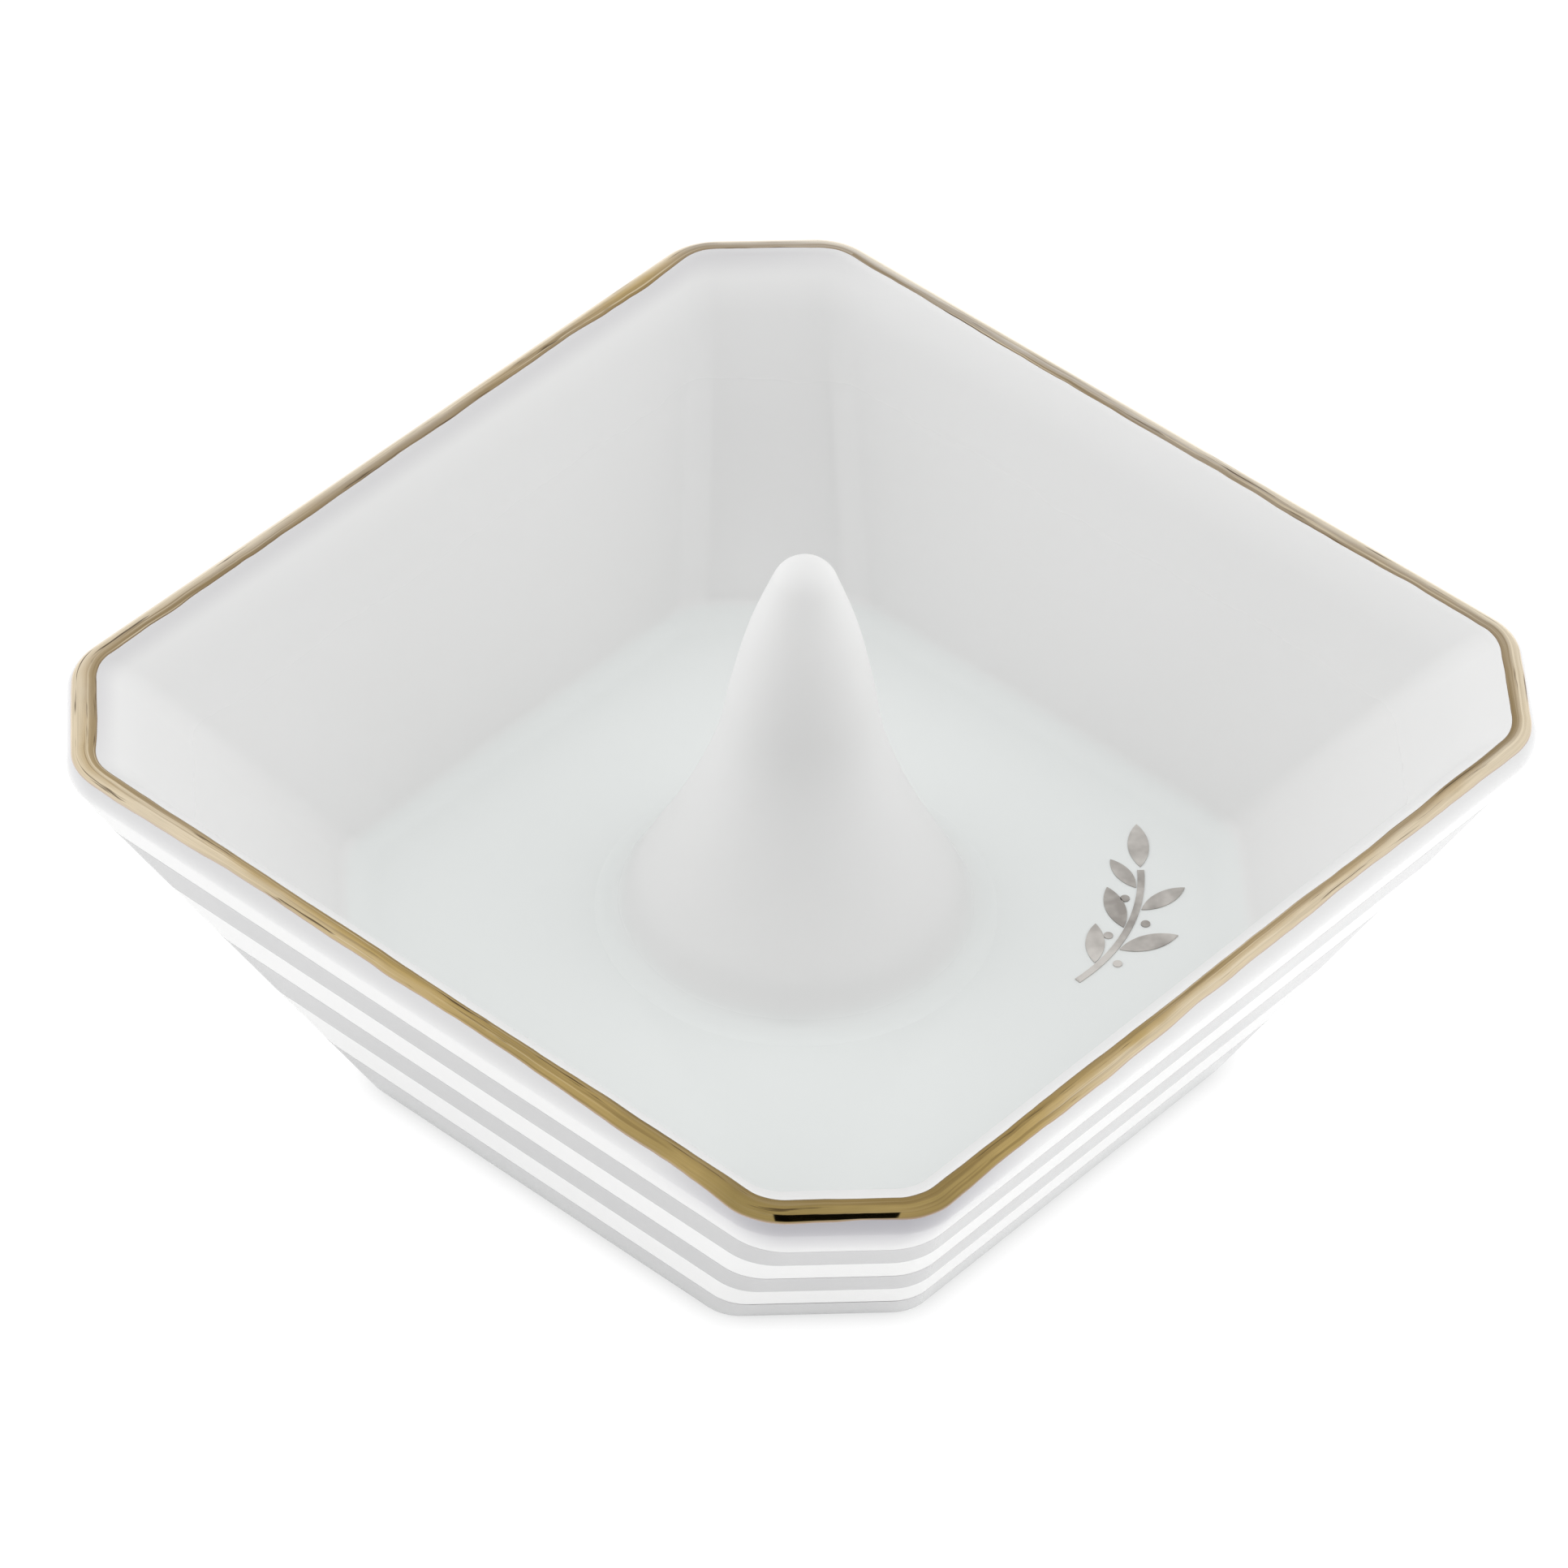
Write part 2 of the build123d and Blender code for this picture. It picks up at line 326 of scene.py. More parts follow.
def makeDish(form, materials):
    seats = ringSeats(form["cornerSteps"], form["sideCuts"], form["cornerCuts"])
    rings = [[seatPoint(seat, *station) * mm for seat in seats] for station in dishStations(form)]

    def holeIn(level):
        # A round ring in a flat face, with a point for each point of the level ring round it
        hole = [(point.xy.normalized() * form["mouthRadius"] * mm).to_3d() for point in level]
        for point in hole:
            point.z = level[0].z
        return hole

    # The hole under the cone: a round ring in both faces of the floor, the first again to close it
    mouth = holeIn(rings[0])
    rings = [mouth, *rings, holeIn(rings[-1]), mouth]
    bm = bmesh.new()
    growRings(bm, rings)
    bmesh.ops.remove_doubles(bm, verts=bm.verts, dist=mergeDistance)
    bmesh.ops.recalc_face_normals(bm, faces=bm.faces)
    for face in bm.faces:
        if face.calc_center_median().z < form["bareBelow"] * mm:
            face.material_index = 1
    piece = newPiece("porcelainDish", bm, materials, "dish_shell")
    piece.modifiers.new("evenShading", "WEIGHTED_NORMAL").keep_sharp = True
    return piece


# Stripes: films on the wall, with crisp edges that sink into the glaze

stripeForm = {
    "film": 0.008,
    "sink": 0.006,
    "nodes": {"stripe_low": 0, "stripe_middle": 2, "stripe_high": 4},  # counted from the foot
}


def makeStripe(form, node, number, materials):
    low = max(number * dishForm["stripeHeight"], dishForm["footSoft"] * math.cos(wallLean))
    high = (number + 1) * dishForm["stripeHeight"]
    seats = ringSeats(dishForm["cornerSteps"])
    back, front = -form["sink"], form["film"]
    outline = [(low, back), (low, front), (high, front), (high, back)]
    stations = [wallStation(dishForm, height, grow) for height, grow in outline]
    rings = [[seatPoint(seat, *station) * mm for seat in seats] for station in stations]
    bm = bmesh.new()
    first, last = growRings(bm, rings)
    bmesh.ops.bridge_loops(bm, edges=first + last)
    bmesh.ops.recalc_face_normals(bm, faces=bm.faces)
    piece = newPiece(node + "Film", bm, materials, node)
    piece.modifiers.new("crispEdges", "EDGE_SPLIT")


# Ring cone: outline as (radius, height) in mm above the floor

coneForm = {
    "skirt": [
        (18.4, -0.04), (17.35, 0.12), (16.3, 0.62), (13.94, 4.62),
        (9.71, 13.49), (7.4, 20.25), (6.21, 26.73), (4.62, 33.41),
    ],
    "skirtWay": (-1, 0.05),  # the way in which it leaves the floor
    "tipRadius": 3.0,
    "tipSlope": 20.0,  # degrees from level at which the flank passes into the tip
    "wall": 3.2,
    "hollowFrom": 3,  # the first point of the skirt that the hollow follows
    "hollowEnd": 1.35,  # it closes where the skirt is narrower than this many walls
    "hollowWay": (-1, 1),
    "mouthRadius": 13.8,
    "steps": 10,
    "turns": 128,
}


def makeCone(form, materials):
    low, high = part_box("ring_cone")
    height = (high.z - low.z) / mm
    lean = math.radians(form["tipSlope"])
    centre = height - form["tipRadius"]

    def dome(radius, middle, first):
        # Points of a round end, from an angle above level, which isn't among them, up to the axis
        arc = math.pi / 2 - first
        turns = [first + arc * number / form["steps"] for number in range(1, form["steps"] + 1)]
        ways = [(math.cos(turn), math.sin(turn)) for turn in turns]
        return [Vector((radius * across, middle + radius * rise)) for across, rise in ways]

    tipStart = (form["tipRadius"] * math.cos(lean), centre + form["tipRadius"] * math.sin(lean))
    tipWay = (-math.sin(lean), math.cos(lean))
    outline = smoothSpans(form["skirt"] + [tipStart], form["skirtWay"], tipWay, form["steps"])
    outline += dome(form["tipRadius"], centre, lean)
    closing = form["wall"] * form["hollowEnd"]
    followed = [(radius, h) for radius, h in form["skirt"][form["hollowFrom"]:] if radius > closing]
    hollow = [(form["mouthRadius"], 0)] + [(radius - form["wall"], h) for radius, h in followed]
    inside = smoothSpans(hollow, form["hollowWay"], (0, 1), form["steps"]) + dome(*hollow[-1], 0)
    path = list(reversed(inside)) + outline
    bm = bmesh.new()
    verts = [bm.verts.new((max(p.x, 0) * mm, 0, low.z + p.y * mm)) for p in path]
    edges = [bm.edges.new(pair) for pair in zip(verts, verts[1:])]
    bmesh.ops.spin(
        bm, geom=verts + edges, cent=(0, 0, 0), axis=(0, 0, 1), angle=2 * math.pi,
        steps=form["turns"], use_merge=True,
    )
    bmesh.ops.remove_doubles(bm, verts=bm.verts, dist=mergeDistance)
    bmesh.ops.recalc_face_normals(bm, faces=bm.faces)
    return newPiece("porcelainCone", bm, materials, "ring_cone")


# Gilt band: a brushed film over the lip, thin, with uneven edges

giltForm = {
    "film": 0.02,
    "sink": 0.02,  # how far the edges and the back lie inside the porcelain
    # Bearing round the dish, the two angles on the bead that the brush reached, and the thickness
    "brush": [
        (0, 42, 114, 0.1),
        (20, 42, 110, 0.05),
        (40, 42, 104, 0.05),
        (50, 42, 104, 0.2),
        (57, 42, 118, 0.62),
        (66, 42, 112, 0.36),
        (90, 42, 112, 0.26),
        (122, 42, 116, 0.34),
        (135, 38, 125, 0.4),
        (147, 44, 112, 0.42),
        (168, 49, 110, 0.66),
        (192, 49, 110, 0.76),
        (213, 36, 108, 0.86),
        (218, 25, 108, 0.98),
        (232, 25, 108, 0.98),
        (238, 33, 108, 0.8),
        (255, 40, 110, 0.56),
        (280, 50, 110, 0.44),
        (302, 48, 108, 0.36),
        (315, 42, 112, 0.32),
        (330, 42, 113, 0.26),
    ],
    "rings": 16,
    "backShares": (0.75, 0.5, 0.25),  # shares of the way over at which rings close it behind
    "cornerSteps": 14,
    "sideCuts": 190,
    "cornerCuts": 26,
    "waves": ((13.0, 7.0), (4.0, 4.0), (1.3, 1.2)),  # size along the lip in mm, reach in degrees
    "waveStep": 7,  # how far apart in the noise the waves of an edge lie
    "edgeStep": 40,  # and those of the two edges
}


def brushedAt(form, point):
    # The two angles between which the brush left gold at a place on the lip, and how thick it lies
    bearing = math.degrees(math.atan2(point.y, point.x)) % 360
    strokes = form["brush"] + [(360, *form["brush"][0][1:])]
    for before, after in zip(strokes, strokes[1:]):
        if before[0] <= bearing <= after[0]:
            share = (bearing - before[0]) / (after[0] - before[0])
            share = share * share * (3 - 2 * share)
            pairs = zip(before[1:], after[1:])
            low, high, thickness = (mix(start, end, share) for start, end in pairs)
            break
    for number, (size, reach) in enumerate(form["waves"]):
        depth = form["waveStep"] * number
        low += noise.noise(point / size + Vector((0, 0, depth))) * reach
        high += noise.noise(point / size + Vector((0, 0, form["edgeStep"] + depth))) * reach
    return low, high, thickness


def makeGilt(form, materials):
    seats = ringSeats(form["cornerSteps"], form["sideCuts"], form["cornerCuts"])
    lip = (lipLine, dishForm["cutLip"], dishForm["roundLip"], lipHeight)
    further = (lipLine + 1, dishForm["cutLip"] + cutGrowth, dishForm["roundLip"] + 1, lipHeight)
    points = [seatPoint(seat, *lip) for seat in seats]
    ways = [(seatPoint(seat, *further) - point).normalized() for seat, point in zip(seats, points)]
    brushed = [brushedAt(form, point) for point in points]

    # Each ring's share of the way over the lip, and how far it lies outside the porcelain
    steps = [-form["sink"]] + [form["film"]] * (form["rings"] - 1) + [-form["sink"]]
    layout = [(number / form["rings"], step) for number, step in enumerate(steps)]
    layout += [(share, -2 * form["sink"]) for share in form["backShares"]]
    rings = []
    for share, grow in layout:
        ring = []
        for point, way, (low, high, thickness) in zip(points, ways, brushed):
            turn = math.radians(mix(low, high, share))
            reach = lipRadius + grow
            rise = Vector((0, 0, reach * math.sin(turn)))
            ring.append((point + way * reach * math.cos(turn) + rise) * mm)
        rings.append(ring)
    bm = bmesh.new()
    first, last = growRings(bm, rings)
    bmesh.ops.bridge_loops(bm, edges=first + last)
    bmesh.ops.recalc_face_normals(bm, faces=bm.faces)
    ringLayer = bm.verts.layers.int["ring"]
    for edge in bm.edges:
        ends = {vert[ringLayer] for vert in edge.verts}
        edge.smooth = ends not in ({0}, {form["rings"]})
    thicknesses = [thickness for low, high, thickness in brushed]
    paintBrushMap(bm, points, [share for share, grow in layout], thicknesses)
    return newPiece("giltBand", bm, materials, "gilt_rim_band")


def paintBrushMap(bm, points, shares, thicknesses):
    # Maps for the strokes: metres along the lip, the share of the way over it, and the thickness
    lengths = [0.0]
    for before, after in zip(points, points[1:] + points[:1]):
        lengths.append(lengths[-1] + (after - before).length * mm)
    seatLayer = bm.verts.layers.int["seat"]
    ringLayer = bm.verts.layers.int["ring"]
    brushMap = bm.loops.layers.uv.new("brush")
    filmMap = bm.loops.layers.uv.new("film")
    for face in bm.faces:
        seatsUsed = [loop.vert[seatLayer] for loop in face.loops]
        atSeam = max(seatsUsed) - min(seatsUsed) > 1
        for loop, seat in zip(face.loops, seatsUsed):
            along = lengths[-1] if atSeam and seat == 0 else lengths[seat]
            loop[brushMap].uv = (along, shares[loop.vert[ringLayer]])
            loop[filmMap].uv = (thicknesses[seat], 0)


# Materials

class Wire:
    # One output of a node; sums and products on it add Math nodes
    def __init__(self, tree, socket=None):
        self.tree = tree
        self.socket = socket

    def make(self, kind, settings=None, inputs=None, output=0):
        node = self.tree.nodes.new(kind)
        for name, value in (settings or {}).items():
            if name == "stops":
                ramp = node.color_ramp
                for place, colour in value[2:]:
                    ramp.elements.new(place)
                for element, (place, colour) in zip(ramp.elements, value):
                    element.position = place
                    element.color = (*colour, 1)
            else:
                setattr(node, name, value)
        for name, value in (inputs or {}).items():
            if isinstance(value, Wire):
                self.tree.links.new(value.socket, node.inputs[name])
            else:
                node.inputs[name].default_value = value
        return Wire(self.tree, node.outputs[output]) if node.outputs else None

    def maths(self, operation, *values):
        return self.make("ShaderNodeMath", {"operation": operation}, dict(enumerate(values)))

    def __add__(self, other):
        return self.maths("ADD", self, other)

    def __radd__(self, other):
        return self.maths("ADD", other, self)

    def __sub__(self, other):
        return self.maths("SUBTRACT", self, other)

    def __rsub__(self, other):
        return self.maths("SUBTRACT", other, self)

    def __mul__(self, other):
        return self.maths("MULTIPLY", self, other)


def srgb(red, green, blue):
    # Colour as read off a screen, 0 to 255, to the linear values that sockets hold
    def linear(value):
        share = value / 255
        return share / 12.92 if share <= 0.04045 else ((share + 0.055) / 1.055) ** 2.4
    return linear(red), linear(green), linear(blue)


def newMaterial(name):
    material = bpy.data.materials.new(name)
    material.use_nodes = True
    tree = material.node_tree
    tree.nodes.clear()
    wire = Wire(tree)
    place = wire.make("ShaderNodeTexCoord", output="Object")
    return material, wire, place


def finishSurface(wire, sockets):
    shader = wire.make("ShaderNodeBsdfPrincipled", inputs=sockets)
    wire.make("ShaderNodeOutputMaterial", inputs={"Surface": shader})


def speckle(wire, place, scale, detail=2.0, roughness=0.5):
    sockets = {"Vector": place, "Scale": scale, "Detail": detail, "Roughness": roughness}
    return wire.make("ShaderNodeTexNoise", inputs=sockets)


def bumpFrom(wire, strength, distance, height):
    sockets = {"Strength": strength, "Distance": distance * mm, "Height": height}
    return wire.make("ShaderNodeBump", inputs=sockets)


def axisOf(wire, vector, number):
    return wire.make("ShaderNodeSeparateXYZ", inputs={0: vector}, output=number)


def vectorMaths(wire, operation, first, second, output=0):
    sockets = {0: first, 1: second}
    return wire.make("ShaderNodeVectorMath", {"operation": operation}, sockets, output)


def blendColour(wire, factor, first, second):
    # Sockets 6 and 7 of a Mix node that is set to colours are the colours, output 2 the result
    sockets = {0: factor, 6: first if isinstance(first, Wire) else (*first, 1)}
    sockets[7] = second if isinstance(second, Wire) else (*second, 1)
    return wire.make("ShaderNodeMix", {"data_type": "RGBA"}, sockets, output=2)


def reachPast(wire, place, width, cut, soft=3.0):
    # How far a place lies past an upright outline with cut corners, in metres
    x, y = (wire.maths("ABSOLUTE", axisOf(wire, place, number)) for number in range(2))
    straight = wire.maths("MAXIMUM", x, y) - width * mm
    slanted = (x + y - (2 * width - cut) * mm) * math.sqrt(0.5)
    return wire.maths("SMOOTH_MAX", straight, slanted, soft * mm)


def fadeBetween(wire, value, low, high, atLow, atHigh):
    # A soft change from one value to another while the input goes from low to high
    sockets = {0: value, 1: low, 2: high, 3: atLow, 4: atHigh}
    return wire.make("ShaderNodeMapRange", {"interpolation_type": "SMOOTHSTEP"}, sockets)


def fadeOver(wire, value, span, atLow, atHigh):
    # The same over a span that is given in mm
    return fadeBetween(wire, value, span[0] * mm, span[1] * mm, atLow, atHigh)


glazeFinish = {
    "white": srgb(236, 236, 236),
    "warm": srgb(234, 234, 233),
    "cool": srgb(232, 235, 234),  # on the floor
    "coolReach": (2.5, 1.0),  # mm above the floor and past its edge over which that ends
    "paintedShade": srgb(170, 168, 176),  # painted shade, outside close under the gilt
    "paintedInnerShade": srgb(210, 209, 211),  # painted shade, inside close under the gilt
    "shadeFrom": (35.0, 38.0),  # heights between which it deepens, in mm
    "shadeDepth": 0.26,
    "shadeRight": (50.0, 0.45),  # x - y in mm at which this share of it is left
    "shadeFrontFrom": (29.0, 40.5),  # heights at the front, where it is deeper
    "frontHalf": (6.0, 30.0),  # x - y in mm to each side of the front over which that ends
    "frontSpan": (-20.0, 0.0),  # x + y in mm over which it ends towards the back
    "innerShadeFrom": (36.4, 37.9),
    "innerShadeBack": (30.0, 46.0),  # y in mm over which it sets in towards the back
    "innerShadeDepth": 0.7,
    "roughness": 0.15,
    "smear": 0.07,
    "lipRoughness": 0.25,  # added on the flare inside the lip
    "lipRoughFrom": (25.0, 36.5),
    "lipRoughBand": (-22.0, -12.0),  # mm past the lip over which it sets in
    "coneRoughness": 0.3,  # added on the cone
    "coneReach": (17.0, 20.0),  # mm from the middle over which that ends
    "coneFoot": 3.0,  # mm above the floor over which that sets in
    "patches": (45.0, 3.0),  # noise: scale, detail and, where it isn't 0.5, roughness
    "smears": (90.0, 4.0, 0.6),
    "peel": (700.0, 1.0),
    "peelHeight": 0.004,
    "swell": (90.0, 1.0),
    "swellHeight": 0.03,
    "bump": (0.35, 1.0),  # strength, and its distance in mm
    "ior": 1.5,
}


def glazedPorcelain(finish):
    material, wire, place = newMaterial("glazedPorcelain")
    x, y, height = (axisOf(wire, place, number) for number in range(3))
    floorHeight = dishForm["floorHeight"] * mm
    pastLip = reachPast(wire, place, lipLine, dishForm["cutLip"])

    def aboveFloor(reach, atLow, atHigh):
        return fadeBetween(wire, height, floorHeight, floorHeight + reach * mm, atLow, atHigh)

    # White, with a cooler floor
    patches = speckle(wire, place, *finish["patches"])
    colour = blendColour(wire, patches, finish["white"], finish["warm"])
    coolHeight, coolWidth = finish["coolReach"]
    floorWidth = dishForm["footHalfWidth"] + dishForm["floorOverhang"]
    pastFloor = reachPast(wire, place, floorWidth, dishForm["cutFloor"])
    onFloor = aboveFloor(coolHeight, 1.0, 0.0)
    onFloor = onFloor * fadeOver(wire, pastFloor, (0.0, coolWidth), 1.0, 0.0)
    colour = blendColour(wire, onFloor, colour, finish["cool"])

    # Painted shade under the gilt, outside and inside: the outer wall leans in below the lip, the
    # inner one lies further in
    leaning = (lipHeight * mm - height) * math.tan(wallLean)
    outside = fadeBetween(wire, pastLip + leaning, -mm, 0.0, 0.0, 1.0)
    onFront = fadeOver(wire, wire.maths("ABSOLUTE", x - y), finish["frontHalf"], 1.0, 0.0)
    onFront = onFront * fadeOver(wire, x + y, finish["frontSpan"], 1.0, 0.0)
    rightReach, rightShare = finish["shadeRight"]
    shadeUnderGilt = fadeOver(wire, height, finish["shadeFrom"], 0.0, finish["shadeDepth"])
    shadeUnderGilt = shadeUnderGilt * fadeOver(wire, x - y, (0.0, rightReach), 1.0, rightShare)
    shadeAtFront = fadeOver(wire, height, finish["shadeFrontFrom"], 0.0, 1.0) * onFront
    shadeUnderGilt = wire.maths("MAXIMUM", shadeUnderGilt, shadeAtFront)
    colour = blendColour(wire, outside * shadeUnderGilt, colour, finish["paintedShade"])
    # Painted shade inside the lip, just under the gilt, towards the back
    shadeInsideLip = fadeOver(wire, height, finish["innerShadeFrom"], 0.0, finish["innerShadeDepth"])
    shadeInsideLip = shadeInsideLip * (1.0 - outside) * fadeOver(wire, y, finish["innerShadeBack"], 0.0, 1.0)
    colour = blendColour(wire, shadeInsideLip, colour, finish["paintedInnerShade"])

    # Gloss: smeared all over, softer on the flare inside the lip and on the cone
    smears = speckle(wire, place, *finish["smears"])
    roughness = finish["roughness"] + smears * finish["smear"]
    onFlare = fadeOver(wire, pastLip, finish["lipRoughBand"], 0.0, 1.0) * (1.0 - outside)
    onFlare = fadeOver(wire, height, finish["lipRoughFrom"], 0.0, finish["lipRoughness"]) * onFlare
    roughness = roughness + onFlare
    level = vectorMaths(wire, "MULTIPLY", place, (1, 1, 0))
    fromMiddle = vectorMaths(wire, "LENGTH", level, (0, 0, 0), output=1)
    onCone = fadeOver(wire, fromMiddle, finish["coneReach"], finish["coneRoughness"], 0.0)
    roughness = roughness + onCone * aboveFloor(finish["coneFoot"], 0.0, 1.0)

    peel = speckle(wire, place, *finish["peel"])
    swell = speckle(wire, place, *finish["swell"])
    relief = peel * finish["peelHeight"] + swell * finish["swellHeight"]
    bump = bumpFrom(wire, *finish["bump"], relief)
    sockets = {"Base Color": colour, "Roughness": roughness, "IOR": finish["ior"], "Normal": bump}
    finishSurface(wire, sockets)
    return material


bareFinish = {
    "dark": srgb(226, 223, 217),
    "light": srgb(238, 236, 231),
    "grain": (1500.0, 3.0),
    "roughness": (0.7, 0.15),  # at least, and what the grain adds
    "bump": (0.4, 0.1),
}


def barePorcelain(finish):
    material, wire, place = newMaterial("barePorcelain")
    grain = speckle(wire, place, *finish["grain"])
    colour = blendColour(wire, grain, finish["dark"], finish["light"])
    least, added = finish["roughness"]
    bump = bumpFrom(wire, *finish["bump"], grain)
    finishSurface(wire, {"Base Color": colour, "Roughness": least + grain * added, "Normal": bump})
    return material


greyFinish = {
    "light": srgb(175, 175, 175),
    "dark": srgb(167, 167, 168),
    "patches": (120.0, 3.0),
    "grain": (2500.0, 2.0),
    "patchShare": 0.7,
    "grainShare": 0.3,
    "roughness": (0.09, 0.05),  # at least, and what the patches add
    "bump": (0.03, 0.1),
    "ior": 1.5,
}


def greyPrint(finish):
    material, wire, place = newMaterial("greyPrint")
    patches = speckle(wire, place, *finish["patches"])
    grain = speckle(wire, place, *finish["grain"])
    mottle = patches * finish["patchShare"] + grain * finish["grainShare"]
    colour = blendColour(wire, mottle, finish["light"], finish["dark"])
    least, added = finish["roughness"]
    roughness = least + patches * added
    bump = bumpFrom(wire, *finish["bump"], grain)
    sockets = {"Base Color": colour, "Roughness": roughness, "IOR": finish["ior"], "Normal": bump}
    finishSurface(wire, sockets)
    return material


goldFinish = {
    "stops": [  # from the thinnest film to the thickest
        (0.0, srgb(212, 206, 198)),
        (0.22, srgb(184, 173, 157)),
        (0.42, srgb(198, 179, 147)),
        (0.7, srgb(186, 161, 106)),
        (1.0, srgb(150, 130, 82)),
    ],
    "unevenness": 0.5,
    "deep": srgb(128, 106, 66),  # where strokes overlap
    "mark": srgb(74, 56, 36),
    # painted highlight: cream on the outer side of the lip and in strokes where the film is thin
    "pale": srgb(234, 220, 194),
    "outerEdge": srgb(198, 180, 176),  # where the film thins out
    "innerEdge": srgb(122, 102, 82),
    "patches": (85.0, 3.0, 0.6),
    "strokeRoughness": 0.55,
    # Strokes: noise per metre along the lip, per band across it, its detail and its strength,
    # and the span of noise values over which they set in
    "grain": (300.0, 16.0, 2.0, 0.12),
    "overlap": (42.0, 5.0, 2.0, 0.55),
    "overlapSpan": (0.5, 0.66),
    "highlightStroke": (30.0, 7.0, 3.0, 0.6),
    "highlightSpan": (0.54, 0.68),
    "markStroke": (95.0, 6.0, 3.0, 0.85),
    "markSpan": (0.61, 0.68),
    # Tones over the lip: the share of the way over which they change, and their strength
    "inwardSpan": (0.5, 0.85),
    "inwardDeep": 0.55,
    "outwardSpan": (0.3, 0.65),
    "outwardRagged": 0.6,
    "outwardHighlight": 0.62,
    # Thicknesses of the film over which a tone changes, and the share of it at the weak end
    "outwardFilm": (0.5, 0.8, 0.0),
    "highlightFilm": (0.5, 0.95, 0.15),
    "innerEdgeFilm": (0.1, 0.4, 0.3),
    "edgeSpan": (0.0, 0.13),
    "edgeRagged": 0.06,
    "outerEdgeStrength": 0.85,
    "innerEdgeStrength": 0.75,
    "roughness": (0.06, 0.2),  # at the outer edge and over the lip
    "roughSpan": (0.3, 0.55),
    "roughPatches": 0.06,
    "relief": 0.006,
    "bump": (0.4, 1.0),
}


def goldLustre(finish):
    # Brushed gold: tone by the thickness of the film, with grain and strokes that follow the lip,
    # and painted highlights on the outer side
    material, wire, place = newMaterial("goldLustre")
    brushMap = wire.make("ShaderNodeUVMap", {"uv_map": "brush"})
    filmMap = wire.make("ShaderNodeUVMap", {"uv_map": "film"})
    over = axisOf(wire, brushMap, 1)
    thickness = axisOf(wire, filmMap, 0)
    patches = speckle(wire, place, *finish["patches"])
    uneven = patches - 0.5

    def strokes(name):
        length, width, detail, strength = finish[name]
        stroke = vectorMaths(wire, "MULTIPLY", brushMap, (length, width, 1.0))
        return speckle(wire, stroke, 1.0, detail, finish["strokeRoughness"]), strength

    def strokesPast(name, span):
        stroke, strength = strokes(name)
        return fadeBetween(wire, stroke, *finish[span], 0.0, strength)

    film = thickness + uneven * finish["unevenness"]
    colour = wire.make("ShaderNodeValToRGB", {"stops": finish["stops"]}, {"Fac": film})

    # Overlapping strokes, a deeper inner side, and a painted highlight on the outer side where the
    # film is thin
    colour = blendColour(wire, strokesPast("overlap", "overlapSpan"), colour, finish["deep"])
    inward = fadeBetween(wire, over, *finish["inwardSpan"], 0.0, finish["inwardDeep"])
    colour = blendColour(wire, inward, colour, finish["deep"])
    ragged = over + uneven * finish["outwardRagged"]
    outerHighlight = fadeBetween(wire, ragged, *finish["outwardSpan"], finish["outwardHighlight"], 0.0)
    thin, thick, share = finish["outwardFilm"]
    outerHighlight = outerHighlight * fadeBetween(wire, thickness, thin, thick, 1.0, share)
    colour = blendColour(wire, outerHighlight, colour, finish["pale"])

    # Painted highlight in strokes where the film is thin, fine grain and dark marks
    thin, thick, share = finish["highlightFilm"]
    highlights = strokesPast("highlightStroke", "highlightSpan")
    highlights = highlights * fadeBetween(wire, thickness, thin, thick, 1.0, share)
    colour = blendColour(wire, highlights, colour, finish["pale"])
    fine, strength = strokes("grain")
    tone = (fine - 0.5) * 2.0 * strength + 1.0
    colour = wire.make("ShaderNodeVectorMath", {"operation": "SCALE"}, {0: colour, "Scale": tone})
    colour = blendColour(wire, strokesPast("markStroke", "markSpan"), colour, finish["mark"])

    # Margins: faint and mauve outside, brown inside
    ragged = (fine - 0.5) * finish["edgeRagged"]
    outer = fadeBetween(wire, over + ragged, *finish["edgeSpan"], finish["outerEdgeStrength"], 0.0)
    colour = blendColour(wire, outer, colour, finish["outerEdge"])
    back = 1.0 - over + ragged
    inner = fadeBetween(wire, back, *finish["edgeSpan"], finish["innerEdgeStrength"], 0.0)
    thin, thick, share = finish["innerEdgeFilm"]
    inner = inner * fadeBetween(wire, thickness, thin, thick, share, 1.0)
    colour = blendColour(wire, inner, colour, finish["innerEdge"])

    roughness = fadeBetween(wire, over, *finish["roughSpan"], *finish["roughness"])
    roughness = roughness + uneven * finish["roughPatches"]
    bump = bumpFrom(wire, *finish["bump"], fine * finish["relief"])
    sockets = {"Base Color": colour, "Metallic": 1.0, "Roughness": roughness, "Normal": bump}
    finishSurface(wire, sockets)
    return material


silverFinish = {
    "stops": [(0.35, srgb(158, 153, 148)), (0.65, srgb(208, 204, 199))],
    "patches": (260.0, 3.0, 0.6),
    "roughness": (0.25, 0.2),  # at least, and what the patches add
}


def silverLustre(finish):
    material, wire, place = newMaterial("silverLustre")
    patches = speckle(wire, place, *finish["patches"])
    colour = wire.make("ShaderNodeValToRGB", {"stops": finish["stops"]}, {"Fac": patches})
    least, added = finish["roughness"]
    roughness = least + patches * added
    finishSurface(wire, {"Base Color": colour, "Metallic": 1.0, "Roughness": roughness})
    return material


glaze = glazedPorcelain(glazeFinish)
bare = barePorcelain(bareFinish)
grey = greyPrint(greyFinish)
gold = goldLustre(goldFinish)
silver = silverLustre(silverFinish)
print("materials made")

